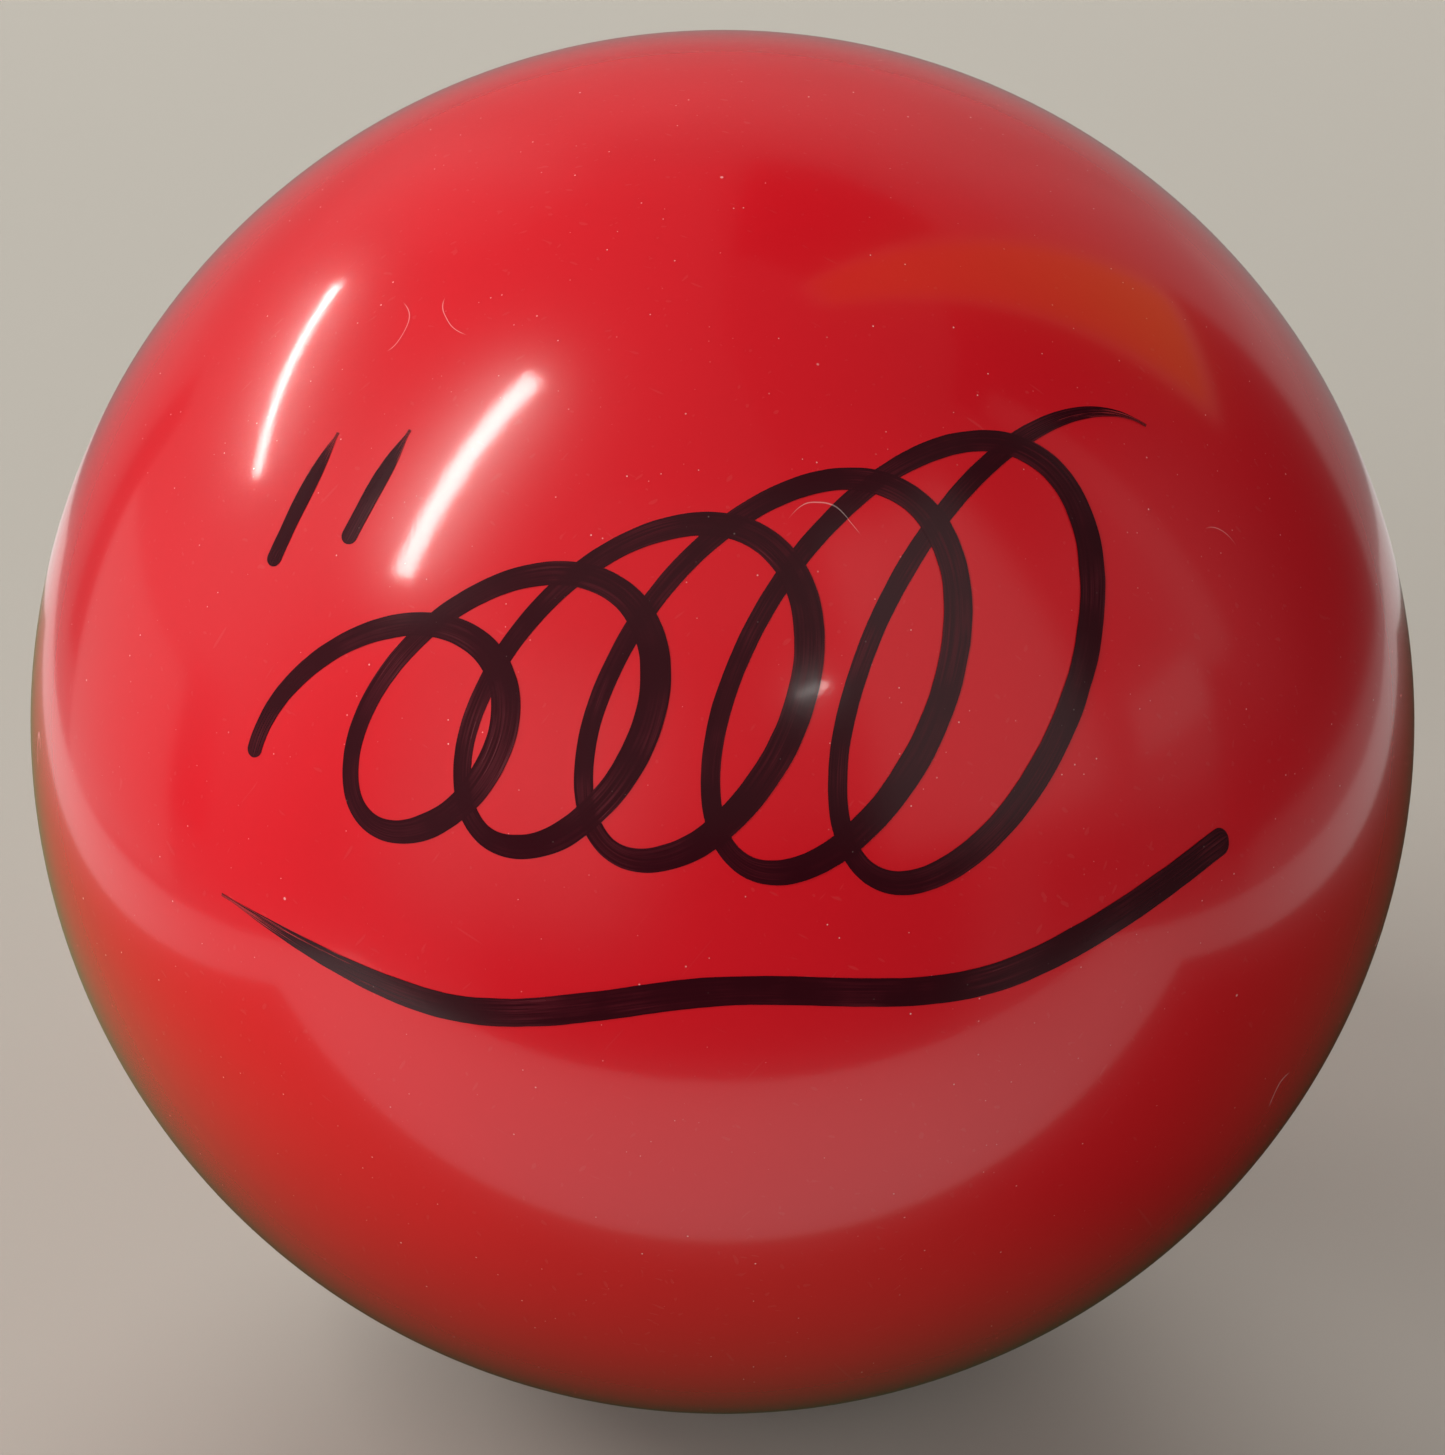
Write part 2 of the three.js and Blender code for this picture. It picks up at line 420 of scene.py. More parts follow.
def remove_old(name):
    """Takes away what an earlier press of the same button made."""
    if name in bpy.data.objects:
        bpy.data.objects.remove(bpy.data.objects[name])


def new_object(name, bm, material):
    """A finished object at the origin, with its place in its mesh."""
    remove_old(name)
    mesh = bpy.data.meshes.new(name)
    bm.to_mesh(mesh)
    bm.free()
    mesh.materials.append(material)
    piece = bpy.data.objects.new(name, mesh)
    bpy.context.scene.collection.objects.link(piece)
    return piece


def stand_for(piece, node):
    """The piece rides on the body in place of its CAD node."""
    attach(piece, BODY)
    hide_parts(node)


def map_sides(bm):
    """Gives each side of the cube its own tile of the map."""
    layer = bm.loops.layers.uv.new("OFBake")
    for face in bm.faces:
        axis = max(range(3), key=lambda i: abs(face.normal[i]))
        tile = 2 * axis + (face.normal[axis] > 0)
        column, row = tile % TILE_COLUMNS, tile // TILE_COLUMNS
        for loop in face.loops:
            across, up = (c for i, c in enumerate(loop.vert.co) if i != axis)
            part = [TILE_MARGIN + (c + 1) / 2 * (1 - 2 * TILE_MARGIN) for c in (across, up)]
            loop[layer].uv = ((column + part[0]) / TILE_COLUMNS, (row + part[1]) / TILE_ROWS)


def swell(bm, radius):
    """Blows the cube up into a ball whose cells are nearly even in size."""
    for vert in bm.verts:
        eased = Vector(math.tan(c * math.pi / 4) for c in vert.co)
        vert.co = eased.normalized() * radius


def coil_point(part):
    """Where the pen is on the coil, from its start at 0 to its end at 1."""
    turn = 2 * math.pi * (COIL_FIRST_TURN + COIL_TURNS * part)
    across, up, half_width, half_height = COIL_START + (COIL_END - COIL_START) * part
    rise = half_height * math.cos(turn)
    return Vector((across + half_width * math.sin(turn) + COIL_SLANT * rise, up + rise))


def through_points(points):
    """A smooth line through the points, which gives where it is from 0 to 1."""
    corners = [Vector(p) for p in points]
    corners = [corners[0], *corners, corners[-1]]

    def point(part):
        place = part * (len(points) - 1)
        i = min(int(place), len(points) - 2)
        t = place - i
        before, first, second, after = corners[i : i + 4]
        leave, arrive = (second - before) / 2, (after - first) / 2
        cubic = (first - second) * 2 + leave + arrive
        square = (second - first) * 3 - leave * 2 - arrive
        return cubic * t**3 + square * t**2 + leave * t + first

    return point


def on_ball(point, radius):
    """The place on the ball of a point of the marked side."""
    reach = point.length
    turn = reach * MM / BALL_RADIUS
    sideways = math.sin(turn) / reach if reach else 0.0
    aside = RIGHTWARD * point.x * sideways + UPWARD * point.y * sideways
    return (OUTWARD * math.cos(turn) + aside) * radius


def landing(distance, length):
    """How much of its full width a stroke has near the end where the pen lands."""
    part = min(distance / length, 1)
    return math.sqrt(part * (2 - part))


def lifting(distance, length):
    """The same where the pen lifts off."""
    part = min(distance / length, 1)
    return part * (2 - part)


class Stroke:
    """A pen stroke measured along its length, with its width and press at each section."""

    def __init__(self, point_at, lift, extra, pen):
        parts = np.linspace(0, 1, CURVE_DIVISIONS + 1)
        points = np.array([point_at(part) for part in parts])
        steps = np.linalg.norm(np.diff(points, axis=0), axis=1)
        self.run = np.concatenate(([0.0], np.cumsum(steps)))
        self.points = points
        self.length = self.run[-1]
        self.lift = lift
        self.full = pen.pen_width / MM + extra
        self.press_width = pen.press_width / MM
        self.landing = self.full / 2
        self.distances = self.section_distances()

    def section_distances(self):
        """Even steps along the stroke, with more where its first end is rounded."""
        quarter = np.linspace(0, math.pi / 2, LANDING_SECTIONS, endpoint=False)
        rest = round((self.length - self.landing) / SECTION_STEP)
        return np.concatenate(
            (
                self.landing * (1 - np.cos(quarter)),
                np.linspace(self.landing, self.length, rest + 1),
            )
        )

    def place(self, distance):
        """Where the pen is at one distance."""
        return Vector([np.interp(distance, self.run, self.points[:, i]) for i in (0, 1)])

    def section(self, distance):
        """Centre, direction to the pen's left, press and width at one distance."""
        nudge = self.length / CURVE_DIVISIONS
        after = self.place(min(distance + nudge, self.length))
        before = self.place(max(distance - nudge, 0))
        heading = (after - before).normalized()
        press = (1 - heading.y) / 2
        width = self.full + press * self.press_width
        width *= landing(distance, self.landing) * lifting(self.length - distance, self.lift)
        aside = Vector((-heading.y, heading.x))
        return self.place(distance), aside, press, max(width, LEAST_WIDTH)

    def centre_tree(self):
        """The centreline's sections, to find where passes overlap."""
        tree = kdtree.KDTree(len(self.distances))
        for index, distance in enumerate(self.distances):
            tree.insert((*self.place(distance), 0), index)
        tree.balance()
        return tree

    def overlap_at(self, tree, point, distance):
        """How far inside another pass of the same stroke a point is, from 0 to 1."""
        found = tree.find_range((*point, 0), (self.full + self.press_width) / 2)
        depths = [
            (self.full / 2 - gap) / OVERLAP_SOFTNESS
            for _, index, gap in found
            if abs(self.distances[index] - distance) > OVERLAP_APART
        ]
        return min(max([0.0, *depths]), 1.0)


def wander(distance, side, seed):
    """How much wider the film's edge is than it should be at one distance."""
    spot = Vector((distance * EDGE_WANDER_PER_MM, side * EDGES_APART, seed))
    return EDGE_WANDER * noise.fractal(spot, *EDGE_WANDER_KIND)


def stroke_film(stroke, thickness, seed):
    """One stroke as a closed film: a grid of lanes laid on the ball, then given thickness."""
    bm = bmesh.new()
    sections = len(stroke.distances) - 1
    bmesh.ops.create_grid(bm, x_segments=sections, y_segments=LANES, size=0.5)
    floats = bm.verts.layers.float
    drawn, across, dryness, overlap = (floats.new(name) for name in STROKE_VALUES)
    measured = [stroke.section(distance) for distance in stroke.distances]
    tree = stroke.centre_tree()
    dry_length = stroke.lift * DRY_SHARE
    for vert in bm.verts:
        index = round((vert.co.x + 0.5) * sections)
        side = vert.co.y * 2
        distance = stroke.distances[index]
        centre, aside, press, width = measured[index]
        edge = width / 2 + wander(distance, math.copysign(1, side), seed) * width / stroke.full
        point = centre + aside * side * edge
        lift = (FILM_CLEARANCE + press * FILM_OVERLAP_LIFT) * MM
        vert[drawn] = distance
        vert[across] = side
        vert[dryness] = max(0.0, 1 - (stroke.length - distance) / dry_length)
        vert[overlap] = stroke.overlap_at(tree, point, distance)
        vert.co = on_ball(point, BALL_RADIUS + lift + thickness)
    bmesh.ops.recalc_face_normals(bm, faces=bm.faces[:])
    middle = bm.faces[:][len(bm.faces) // 2]
    if middle.normal.dot(middle.calc_center_median()) < 0:
        bmesh.ops.reverse_faces(bm, faces=bm.faces[:])
    # The grid is the film's outer face, and its thickness goes inwards from there.
    bmesh.ops.solidify(bm, geom=bm.faces[:], thickness=thickness)
    for face in bm.faces:
        face.smooth = True
    for bm_edge in bm.edges:
        bm_edge.smooth = bm_edge.calc_face_angle(0.0) < SHARP_EDGE
    return bm


def make_stroke(name, node, point_at, lift, extra, seed):
    """Builds one stroke's piece over its CAD node."""
    pen = bpy.context.scene.marked_ball_ink
    stroke = Stroke(point_at, lift, extra, pen)
    bm = stroke_film(stroke, pen.film_thickness, seed)
    piece = new_object(name, bm, ink_material(pen))
    stand_for(piece, node)


# ---------------------------------------------------------------- stage

# Directions are azimuths from +Y towards +X and elevations, in degrees. A fade is given by the
# two places that it runs between, and what it has at each.

# Soft lights: name, azimuth, elevation and radiance, and how far off and how large they all are
SOFT_LIGHTS = (
    ("Key Light", -147.0, 14.0, 4.4),
    ("Left Light", -82.0, 18.0, 3.15),
    ("Back Light", 0.0, 22.0, 8.6),
    ("Right Light", 94.0, 16.0, 2.1),
)
SOFT_LIGHT_DISTANCE = 1.2
SOFT_LIGHT_SIZE = 0.9
SOFT_LIGHT_COLOUR = (1.0, 0.985, 0.96)

# Lights that the gloss shows as bright streaks: name, the directions of both ends, width and
# radiance of each ceiling tube, and one small lamp
TUBES = (
    ("Left Tube", (-75.0, 23.8), (-47.5, 31.0), 0.034, 34.0),
    ("Front Tube", (-114.0, 34.0), (-95.0, 64.5), 0.078, 35.0),
)
TUBE_DISTANCE = 1.3
TUBE_COLOUR = (1.0, 0.985, 0.94)
LAMP_DIRECTION = (164.0, 31.0)
LAMP_ENDS = ((160.0, 32.0), (170.0, 30.0))
LAMP_DISTANCE = 1.0
LAMP_SIZE = (0.09, 0.012)
LAMP_RADIANCE = 36.0

# Patches of the room that the gloss shows. Each row gives PATCH_VALUES: angles, how soft the edge
# is, in degrees too, and the radiance that the patch adds to the room's
ROOM_RADIANCE = 0.2
ROOM_LEAST_RADIANCE = 0.02
ROOM_COLOUR = (1.0, 0.98, 0.94, 1.0)
FILL_COLOUR = (1.0, 0.985, 0.96, 1.0)
PATCH_VALUES = (
    "Middle Azimuth",
    "Half Width",
    "Middle Elevation",
    "Half Height",
    "Softness",
    "Radiance",
)
ROOM_PATCHES = (
    (-2.5, 43.5, 18.0, 31.5, 1.5, -0.03),  # back wall
    (0.0, 20.0, 33.0, 16.0, 8.0, -0.03),  # its middle
    (0.0, 41.0, -4.0, 9.5, 6.0, 0.05),  # its foot
    (33.0, 8.0, 17.0, 22.0, 4.0, 0.05),  # its right end
    (-33.0, 12.0, 34.0, 17.0, 8.0, 0.11),  # its paler left part
    (-67.5, 16.5, -9.5, 11.5, 1.2, 0.24),  # pale card on the left
    (-48.0, 3.0, -2.0, 12.0, 2.0, -0.17),  # gap between the card and the wall
    (-88.0, 5.0, -4.0, 9.0, 4.0, -0.16),  # shade beside the card
    (22.0, 17.0, 62.0, 11.5, 3.0, -0.19),  # dark opening above the wall
    (80.0, 80.0, 72.0, 20.0, 12.0, -0.08),  # right side of the ceiling
    (68.0, 27.0, 22.0, 36.0, 3.0, -0.18),  # dark side on the right
    (90.0, 4.0, 31.0, 23.0, 3.0, 0.24),  # upright strip on the right
    (102.0, 8.0, 8.5, 4.0, 3.0, 0.36),  # level strip at its foot
    (108.0, 12.0, 34.0, 18.0, 6.0, -0.11),  # dark between the strip and the pale shape
    (110.0, 20.0, -11.0, 9.0, 6.0, -0.12),  # shade under the level strip
    (136.0, 19.0, 29.0, 25.0, 8.0, 0.44),  # pale shape to the front right
    (180.0, 38.0, -10.0, 20.0, 12.0, -0.15),  # front, in shade
    (180.0, 38.0, 50.0, 10.0, 8.0, 0.11),  # front, higher up
)
WARM_PATCH = (51.0, 9.0, 47.0, 28.0, 5.0, 1.0)  # warm lamplight on the right
WARM_COLOUR = (1.0, 0.45, 0.08, 1.0)
WARM_RADIANCE = 0.7

# Floor: its left, right, near and far sides, and where it starts and ends to turn into backdrop
FLOOR_SIDES = (-3.0, 3.0, -3.0, 3.0)
FLOOR_TURNS = (0.22, 0.65)
FLOOR_CLOUDS = 6.0
FLOOR_DARKER_SHARE = 0.97
FLOOR_ROUGHNESS = 0.9
FLOOR_SPECULAR = 0.1
BLACK = (0.0, 0.0, 0.0, 1.0)

# Table that the gloss shows under and round the ball, with a dull green mat on it: a glowing
# sheet, not a lamp, whose glow is painted light and shade
TABLE_SIDES = (-0.088, 0.1, -0.07, 0.105)
TABLE_DROP = 0.2 * MM
TABLE_COLOUR = (1.0, 0.985, 0.95, 1.0)
# painted light: the table's glow is brighter to the front and dimmer to the right
TABLE_PAINTED_LIGHT_TO_FRONT = (-0.02, -0.06, 0.8, 1.06)
TABLE_PAINTED_SHADE_TO_RIGHT = (0.01, 0.06, 1.0, 0.75)
TABLE_LIGHT_SHARE = 0.45  # how much of its glow falls on the ball as light
MAT_SIDES = (-0.067, 0.076, -0.035, 0.074)
MAT_EDGE = 1.2 * MM
MAT_COLOUR = (0.5, 1.0, 0.5, 1.0)
# painted shadow: the mat is dark next to the ball and on its right, and lit to its left
MAT_PAINTED_SHADOW_FROM_BALL = (0.02, 0.054, 0.0, 0.21)
MAT_PAINTED_LIGHT_TO_LEFT = (0.03, 0.0, 0.15, 1.0)


def soft_patch_group():
    """A soft-edged pale or dark patch of the room, as the gloss sees it."""
    name = "Soft Patch"
    if name in bpy.data.node_groups:
        return bpy.data.node_groups[name]
    names = ("Azimuth", "Elevation", *PATCH_VALUES)
    inputs = [(value, "NodeSocketFloat", 0.0) for value in names]
    group, start, end = new_group(name, inputs, ("Radiance",))
    value = start.outputs
    masks = []
    for place, middle, half in (
        ("Azimuth", "Middle Azimuth", "Half Width"),
        ("Elevation", "Middle Elevation", "Half Height"),
    ):
        offset = calculate(group, "SUBTRACT", value[place], value[middle])
        offset = calculate(group, "WRAP", offset, 180.0, -180.0)
        offset = calculate(group, "ABSOLUTE", offset)
        beyond = calculate(group, "SUBTRACT", offset, value[half])
        share = calculate(group, "DIVIDE", beyond, value["Softness"])
        masks.append(fade(group, share, 0.5, -0.5))
    mask = calculate(group, "MULTIPLY", *masks)
    radiance = calculate(group, "MULTIPLY", mask, value["Radiance"])
    group.links.new(radiance, end.inputs["Radiance"])
    return group


def room_glow(tree):
    """The colour and radiance of the room in each direction, as the gloss sees it."""
    direction = tree.nodes.new("ShaderNodeTexCoord").outputs["Generated"]
    axes = new_node(tree, "ShaderNodeSeparateXYZ", {"Vector": direction}).outputs
    azimuth = calculate(tree, "DEGREES", calculate(tree, "ARCTAN2", axes["X"], axes["Y"]))
    elevation = calculate(tree, "DEGREES", calculate(tree, "ARCSINE", axes["Z"]))
    place = {"Azimuth": azimuth, "Elevation": elevation}
    added = []
    for patch in (*ROOM_PATCHES, WARM_PATCH):
        values = place | dict(zip(PATCH_VALUES, patch, strict=True))
        added.append(use_group(tree, soft_patch_group(), values).outputs["Radiance"])
    warm = added.pop()
    radiance = ROOM_RADIANCE
    for patch_radiance in added:
        radiance = calculate(tree, "ADD", radiance, patch_radiance)
    radiance = calculate(tree, "MAXIMUM", radiance, ROOM_LEAST_RADIANCE)
    radiance = calculate(tree, "MULTIPLY_ADD", warm, WARM_RADIANCE, radiance)
    return mix_colours(tree, warm, ROOM_COLOUR, WARM_COLOUR), radiance


def background(tree, colour, strength=1.0):
    """Light from all round."""
    values = {"Color": colour, "Strength": strength}
    return new_node(tree, "ShaderNodeBackground", values).outputs["Background"]


def room_world(settings):
    """Pale to the camera, even and soft as light, and a plain room to the gloss."""
    world, tree = start_tree(bpy.data.worlds, "Studio Room")
    bpy.context.scene.world = world
    room = background(tree, *room_glow(tree))
    fill = background(tree, FILL_COLOUR, settings.fill_radiance)
    pale = background(tree, tuple(settings.backdrop_colour))
    path = tree.nodes.new("ShaderNodeLightPath").outputs
    values = {0: path["Is Glossy Ray"], 1: fill, 2: room}
    seen = new_node(tree, "ShaderNodeMixShader", values).outputs["Shader"]
    values = {0: path["Is Camera Ray"], 1: seen, 2: pale}
    seen = new_node(tree, "ShaderNodeMixShader", values).outputs["Shader"]
    new_node(tree, "ShaderNodeOutputWorld", {"Surface": seen})


def rectangle_mask(tree, axes, sides, softness):
    """1 inside a rectangle of the table and 0 outside, with a soft edge."""
    left, right, near, far = sides
    half = softness / 2
    masks = (
        fade(tree, axes["X"], left - half, left + half),
        fade(tree, axes["X"], right + half, right - half),
        fade(tree, axes["Y"], near - half, near + half),
        fade(tree, axes["Y"], far + half, far - half),
    )
    mask = 1.0
    for side in masks:
        mask = calculate(tree, "MULTIPLY", mask, side)
    return mask


def flat_plane(name, sides, height, material):
    """A level rectangle of the stage."""
    left, right, near, far = sides
    bm = bmesh.new()
    bmesh.ops.create_grid(bm, x_segments=1, y_segments=1, size=0.5)
    bmesh.ops.scale(bm, verts=bm.verts[:], vec=(right - left, far - near, 1))
    middle = ((left + right) / 2, (near + far) / 2, height)
    bmesh.ops.translate(bm, verts=bm.verts[:], vec=middle)
    plane = new_object(name, bm, material)
    return plane


def floor_material(settings):
    """Plain pale paper, which runs on into the backdrop far from the ball."""
    material, tree, shader = new_material("Pale Floor")
    vector = object_coordinates(tree)
    colour = tuple(settings.floor_colour)
    darker = (*(c * FLOOR_DARKER_SHARE for c in colour[:3]), 1.0)
    tone = noise_value(tree, vector, FLOOR_CLOUDS, 2.0)
    paper = mix_colours(tree, tone, darker, colour)
    backdrop = tuple(settings.backdrop_colour)
    away = fade(tree, distance_from_middle(tree, vector), *FLOOR_TURNS)
    values = {
        "Base Color": mix_colours(tree, away, paper, BLACK),
        "Emission Color": mix_colours(tree, away, BLACK, backdrop),
        "Emission Strength": 1.0,
        "Roughness": FLOOR_ROUGHNESS,
        "Specular IOR Level": FLOOR_SPECULAR,
    }
    set_inputs(tree, shader, values)
    material.cycles.emission_sampling = "NONE"
    return material


def table_material():
    """A glow that stands for a lit table and its mat, with painted light and shade. The table is
    brighter to the front and dimmer to the right, and the mat holds a painted shadow of the ball."""
    material, tree = start_tree(bpy.data.materials, "Table Under Floor")
    vector = object_coordinates(tree)
    axes = new_node(tree, "ShaderNodeSeparateXYZ", {"Vector": vector}).outputs
    mat = rectangle_mask(tree, axes, MAT_SIDES, MAT_EDGE)
    # painted light on the table: brighter to the front, dimmer to the right
    table = fade(tree, axes["Y"], *TABLE_PAINTED_LIGHT_TO_FRONT)
    table = calculate(tree, "MULTIPLY", table, fade(tree, axes["X"], *TABLE_PAINTED_SHADE_TO_RIGHT))
    table = calculate(tree, "MULTIPLY", table, calculate(tree, "SUBTRACT", 1.0, mat))
    # painted shadow of the ball on the mat, darker near it and to its right
    painted_mat_light = fade(tree, distance_from_middle(tree, vector), *MAT_PAINTED_SHADOW_FROM_BALL)
    painted_mat_light = calculate(tree, "MULTIPLY", painted_mat_light, fade(tree, axes["X"], *MAT_PAINTED_LIGHT_TO_LEFT))
    radiance = calculate(tree, "MULTIPLY_ADD", mat, painted_mat_light, table)
    lighting = tree.nodes.new("ShaderNodeLightPath").outputs["Is Diffuse Ray"]
    share = fade(tree, lighting, 0.0, 1.0, 1.0, TABLE_LIGHT_SHARE)
    radiance = calculate(tree, "MULTIPLY", radiance, share)
    values = {"Color": mix_colours(tree, mat, TABLE_COLOUR, MAT_COLOUR), "Strength": radiance}
    glow = new_node(tree, "ShaderNodeEmission", values).outputs["Emission"]
    new_node(tree, "ShaderNodeOutputMaterial", {"Surface": glow})
    return material


def hide_from(thing, *rays):
    """Keeps a plane or a light from showing to some kinds of ray."""
    for ray in rays:
        setattr(thing, f"visible_{ray}", False)


def lay_floor(settings):
    """The floor that the camera sees, and the glowing table, with painted light and shade, that
    the gloss sees instead of it.
    """
    floor = flat_plane("Floor", FLOOR_SIDES, -BALL_RADIUS, floor_material(settings))
    hide_from(floor, "glossy", "diffuse")
    table = flat_plane("Table", TABLE_SIDES, -BALL_RADIUS - TABLE_DROP, table_material())
    hide_from(table, "camera", "shadow")


def heading_vector(azimuth, elevation):
    """The direction at an azimuth and an elevation, in degrees."""
    a, e = math.radians(azimuth), math.radians(elevation)
    return Vector((math.sin(a) * math.cos(e), math.cos(a) * math.cos(e), math.sin(e)))


def rectangle_light(name, middle, along, size, radiance, colour):
    """A rectangular light that faces the ball, with its long side along a direction."""
    remove_old(name)
    length, width = size
    lamp = bpy.data.lights.new(name, "AREA")
    lamp.shape = "RECTANGLE"
    lamp.size, lamp.size_y = length, width
    lamp.energy = radiance * math.pi * length * width
    lamp.color = colour
    facing = middle.normalized()
    side = (along - facing * along.dot(facing)).normalized()
    turn = Matrix((side, facing.cross(side), facing)).transposed().to_4x4()
    light = bpy.data.objects.new(name, lamp)
    light.matrix_world = Matrix.Translation(middle) @ turn
    bpy.context.scene.collection.objects.link(light)
    return light


def soft_light(name, azimuth, elevation, radiance):
    """A large soft light, which doesn't show in the gloss."""
    middle = heading_vector(azimuth, elevation) * SOFT_LIGHT_DISTANCE
    size = (SOFT_LIGHT_SIZE, SOFT_LIGHT_SIZE)
    level = Vector((0, 0, 1))
    light = rectangle_light(name, middle, level, size, radiance, SOFT_LIGHT_COLOUR)
    hide_from(light, "glossy", "camera")


def tube_light(name, first, second, width, radiance):
    """A ceiling tube, reaching from one direction to another."""
    ends = [heading_vector(*angles) for angles in (first, second)]
    middle = (ends[0] + ends[1]).normalized() * TUBE_DISTANCE
    length = 2 * TUBE_DISTANCE * math.tan(ends[0].angle(ends[1]) / 2)
    along = ends[1] - ends[0]
    light = rectangle_light(name, middle, along, (length, width), radiance, TUBE_COLOUR)
    hide_from(light, "camera")


def small_lamp(name):
    """A lamp that only shows as one small bright mark in the gloss."""
    middle = heading_vector(*LAMP_DIRECTION) * LAMP_DISTANCE
    first, second = (heading_vector(*angles) for angles in LAMP_ENDS)
    light = rectangle_light(
        name, middle, second - first, LAMP_SIZE, LAMP_RADIANCE, TUBE_COLOUR
    )
    hide_from(light, "diffuse", "camera")


def place_camera(settings):
    """The camera looks down at the marked side."""
    remove_old("Camera")
    lens = bpy.data.cameras.new("Camera")
    lens.sensor_width = SENSOR_WIDTH
    lens.lens = LENS_LENGTH
    camera = bpy.data.objects.new("Camera", lens)
    distance = settings.camera_distance
    camera.location = heading_vector(180, math.degrees(settings.camera_elevation)) * distance
    aim = UPWARD * -AIM_DROP * distance
    camera.rotation_euler = (aim - camera.location).to_track_quat("-Z", "Y").to_euler()
    bpy.context.scene.collection.objects.link(camera)
    bpy.context.scene.camera = camera


# ---------------------------------------------------------------- settings


class BallSettings(bpy.types.PropertyGroup):
    """What a user may change on the ball."""

    diameter: FloatProperty(
        name="Diameter",
        description="Size across the ball",
        default=2 * BALL_RADIUS,
        min=0.01,
        unit="LENGTH",
        subtype="DISTANCE",
    )
    cuts: IntProperty(
        name="Cuts",
        description="Cuts along each edge of the cube that is swelled into the ball",
        default=95,
        min=8,
        max=120,
    )
    resin_colour: FloatVectorProperty(
        name="Resin",
        description="Colour of the cast resin",
        default=(0.66, 0.0072, 0.0155, 1.0),
        size=4,
        min=0.0,
        max=1.0,
        subtype="COLOR",
    )
    gloss: FloatProperty(
        name="Gloss blur",
        description="Roughness of the sharp polish",
        default=0.085,
        min=0.0,
        max=1.0,
        subtype="FACTOR",
    )
    haze: FloatProperty(
        name="Haze",
        description="Roughness of the faint haze round each highlight",
        default=0.27,
        min=0.0,
        max=1.0,
        subtype="FACTOR",
    )
    dust: FloatProperty(
        name="Dust",
        description="How strongly the settled dust shows",
        default=0.85,
        min=0.0,
        max=1.0,
        subtype="FACTOR",
    )


class InkSettings(bpy.types.PropertyGroup):
    """What a user may change on the marker strokes."""

    ink_colour: FloatVectorProperty(
        name="Ink",
        description="Colour of the ink where it is thick",
        default=(0.03, 0.0012, 0.0042, 1.0),
        size=4,
        min=0.0,
        max=1.0,
        subtype="COLOR",
    )
    pen_width: FloatProperty(
        name="Pen width",
        description="Width of a rising stroke",
        default=0.62 * MM,
        min=0.1 * MM,
        unit="LENGTH",
        subtype="DISTANCE",
    )
    press_width: FloatProperty(
        name="Pressed width",
        description="What the harder press of a falling stroke adds to its width",
        default=0.36 * MM,
        min=0.0,
        unit="LENGTH",
        subtype="DISTANCE",
    )
    film_thickness: FloatProperty(
        name="Film thickness",
        description="Thickness of the dried ink",
        default=0.01 * MM,
        min=0.001 * MM,
        max=0.03 * MM,
        unit="LENGTH",
        subtype="DISTANCE",
    )


class StageSettings(bpy.types.PropertyGroup):
    """What a user may change on the stage."""

    floor_colour: FloatVectorProperty(
        name="Floor",
        description="Colour of the floor",
        default=(0.375, 0.355, 0.32, 1.0),
        size=4,
        min=0.0,
        max=1.0,
        subtype="COLOR",
    )
    backdrop_colour: FloatVectorProperty(
        name="Backdrop",
        description="Colour seen beyond the floor",
        default=(0.58, 0.545, 0.48, 1.0),
        size=4,
        min=0.0,
        max=1.0,
        subtype="COLOR",
    )
    fill_radiance: FloatProperty(
        name="Fill",
        description="Strength of the even light from all round",
        default=0.03,
        min=0.0,
    )
    light_strength: FloatProperty(
        name="Light",
        description="Strength of the soft lights",
        default=1.0,
        min=0.0,
    )
    camera_elevation: FloatProperty(
        name="Camera elevation",
        description="How far above level the camera stands",
        default=MARK_ELEVATION,
        unit="ROTATION",
        subtype="ANGLE",
    )
    camera_distance: FloatProperty(
        name="Camera distance",
        description="Distance from the camera to the middle of the ball",
        default=6 * BALL_RADIUS,
        min=0.05,
        unit="LENGTH",
        subtype="DISTANCE",
    )


# ---------------------------------------------------------------- operators


class MARKEDBALL_OT_ball(bpy.types.Operator):
    """Make the polished resin ball"""

    bl_idname = "marked_ball.make_ball"
    bl_label = "Resin Ball"

    def execute(self, context):
        settings = context.scene.marked_ball
        bm = bmesh.new()
        bmesh.ops.create_cube(bm, size=2)
        bmesh.ops.subdivide_edges(
            bm, edges=bm.edges[:], cuts=settings.cuts, use_grid_fill=True
        )
        bm.normal_update()
        map_sides(bm)
        swell(bm, settings.diameter / 2)
        bmesh.ops.recalc_face_normals(bm, faces=bm.faces[:])
        for face in bm.faces:
            face.smooth = True
        ball = new_object("resin_ball", bm, resin_material(settings))
        stand_for(ball, BALL_NODE)
        return {"FINISHED"}


class MARKEDBALL_OT_coil(bpy.types.Operator):
    """Draw the growing coil in marker ink"""

    bl_idname = "marked_ball.draw_coil"
    bl_label = "Coil Stroke"

    def execute(self, context):
        make_stroke("coil_stroke", COIL_NODE, coil_point, COIL_LIFT, 0.0, 1.0)
        return {"FINISHED"}


class MARKEDBALL_OT_underline(bpy.types.Operator):
    """Draw the underline in marker ink"""

    bl_idname = "marked_ball.draw_underline"
    bl_label = "Underline Stroke"

    def execute(self, context):
        line = through_points(UNDERLINE_POINTS)
        make_stroke(
            "underline_stroke", UNDERLINE_NODE, line, UNDERLINE_LIFT, UNDERLINE_EXTRA, 2.0
        )
        return {"FINISHED"}


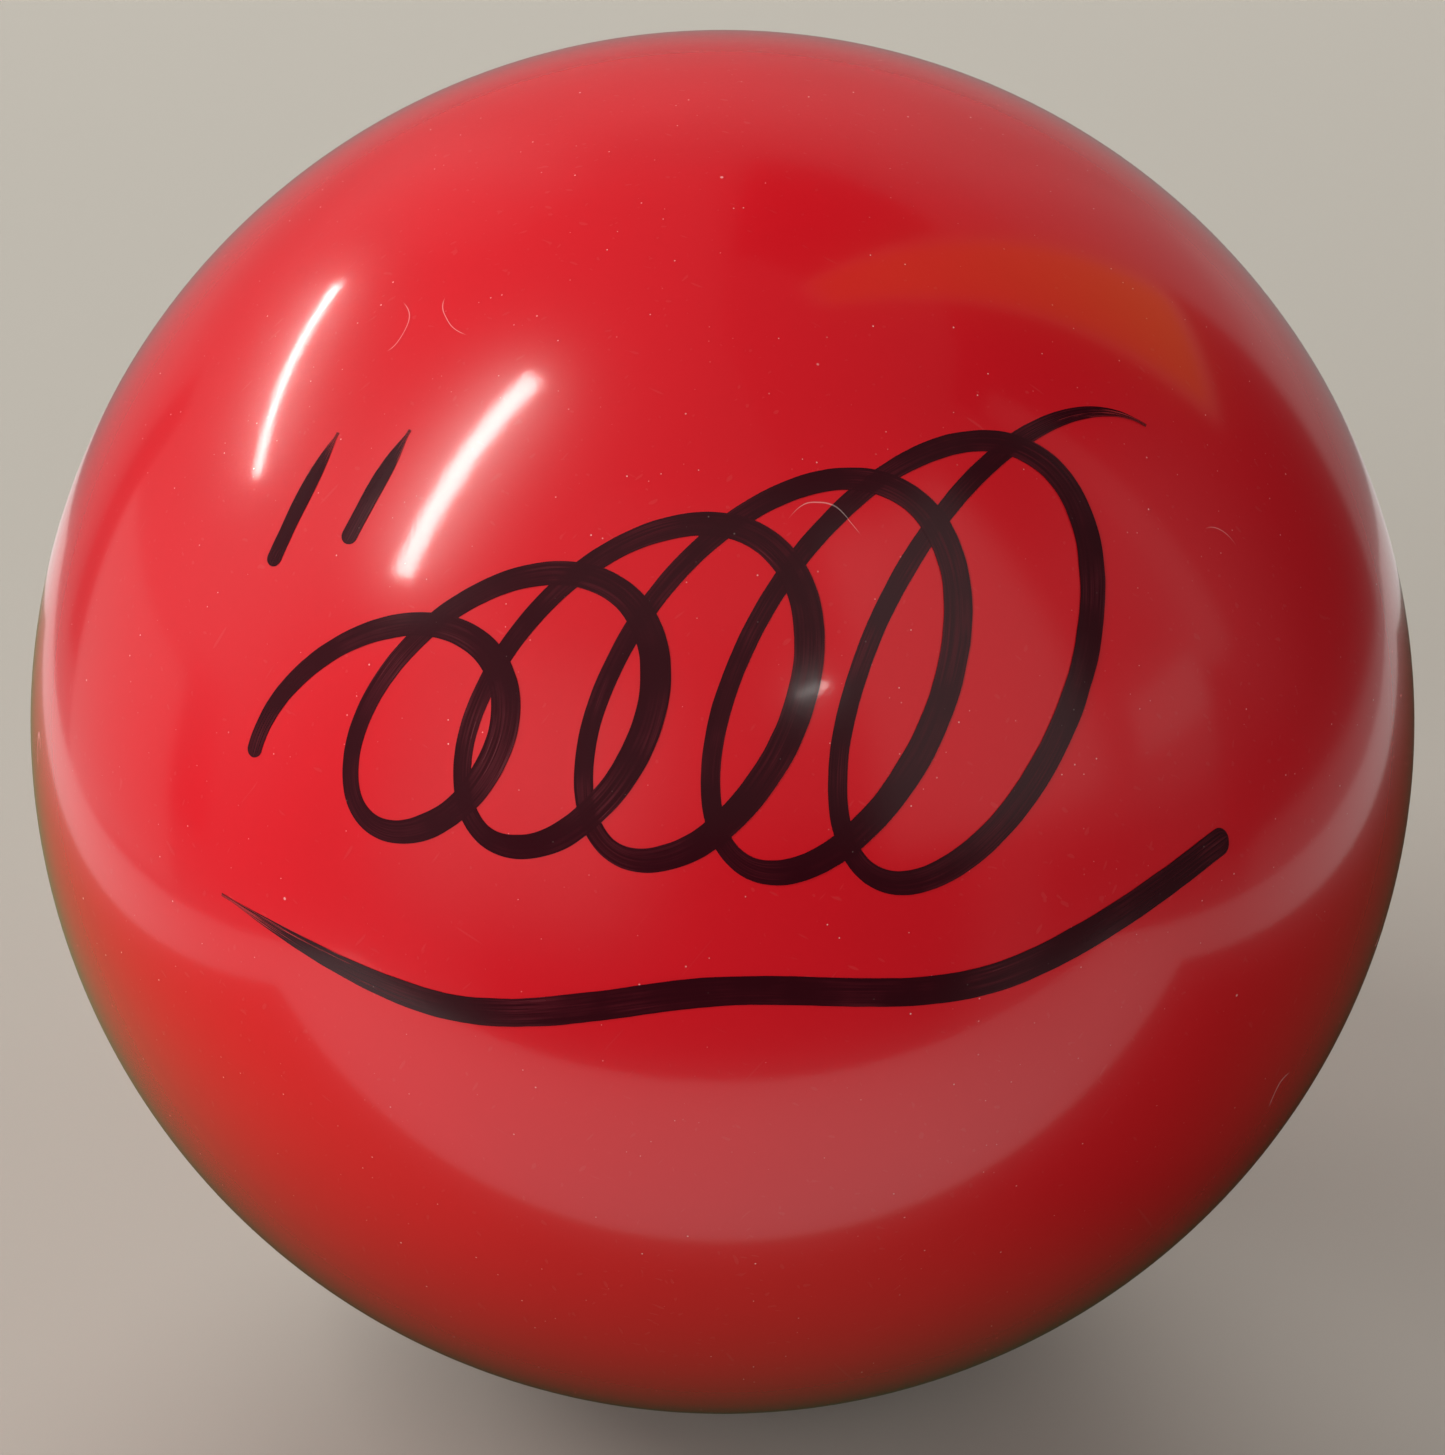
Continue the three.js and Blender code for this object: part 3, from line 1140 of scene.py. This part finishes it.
class MARKEDBALL_OT_ticks(bpy.types.Operator):
    """Draw the two short ticks in marker ink"""

    bl_idname = "marked_ball.draw_ticks"
    bl_label = "Tick Strokes"

    def execute(self, context):
        left = through_points(LEFT_TICK_POINTS)
        right = through_points(RIGHT_TICK_POINTS)
        make_stroke("left_tick_stroke", LEFT_TICK_NODE, left, TICK_LIFT, 0.0, 3.0)
        make_stroke("right_tick_stroke", RIGHT_TICK_NODE, right, TICK_LIFT, 0.0, 4.0)
        return {"FINISHED"}


class MARKEDBALL_OT_stage(bpy.types.Operator):
    """Set up the floor, the lights and the camera"""

    bl_idname = "marked_ball.set_stage"
    bl_label = "Stage"

    def execute(self, context):
        settings = context.scene.marked_ball_stage
        context.scene.view_settings.view_transform = "Standard"
        room_world(settings)
        lay_floor(settings)
        for name, azimuth, elevation, radiance in SOFT_LIGHTS:
            soft_light(name, azimuth, elevation, radiance * settings.light_strength)
        for tube in TUBES:
            tube_light(*tube)
        small_lamp("Small Lamp")
        place_camera(settings)
        return {"FINISHED"}


class MARKEDBALL_PT_panel(bpy.types.Panel):
    """The buttons and sizes of the marked ball"""

    bl_label = "Marked Snooker Ball"
    bl_idname = "MARKEDBALL_PT_panel"
    bl_space_type = "VIEW_3D"
    bl_region_type = "UI"
    bl_category = "Snooker Ball"

    def draw(self, context):
        groups = (
            (context.scene.marked_ball, OPERATORS[:1]),
            (context.scene.marked_ball_ink, OPERATORS[1:4]),
            (context.scene.marked_ball_stage, OPERATORS[4:]),
        )
        for settings, operators in groups:
            box = self.layout.box()
            for name in settings.bl_rna.properties.keys():
                if name not in {"rna_type", "name"}:
                    box.prop(settings, name)
            for operator in operators:
                box.operator(operator.bl_idname)


OPERATORS = (
    MARKEDBALL_OT_ball,
    MARKEDBALL_OT_coil,
    MARKEDBALL_OT_underline,
    MARKEDBALL_OT_ticks,
    MARKEDBALL_OT_stage,
)
CLASSES = (BallSettings, InkSettings, StageSettings, *OPERATORS, MARKEDBALL_PT_panel)


def register():
    for cls in CLASSES:
        bpy.utils.register_class(cls)
    bpy.types.Scene.marked_ball = PointerProperty(type=BallSettings)
    bpy.types.Scene.marked_ball_ink = PointerProperty(type=InkSettings)
    bpy.types.Scene.marked_ball_stage = PointerProperty(type=StageSettings)


def unregister():
    del bpy.types.Scene.marked_ball_stage
    del bpy.types.Scene.marked_ball_ink
    del bpy.types.Scene.marked_ball
    for cls in reversed(CLASSES):
        bpy.utils.unregister_class(cls)


def main():
    register()
    bpy.ops.marked_ball.make_ball()
    bpy.ops.marked_ball.draw_coil()
    bpy.ops.marked_ball.draw_underline()
    bpy.ops.marked_ball.draw_ticks()
    bpy.ops.marked_ball.set_stage()


if __name__ == "__main__":
    main()
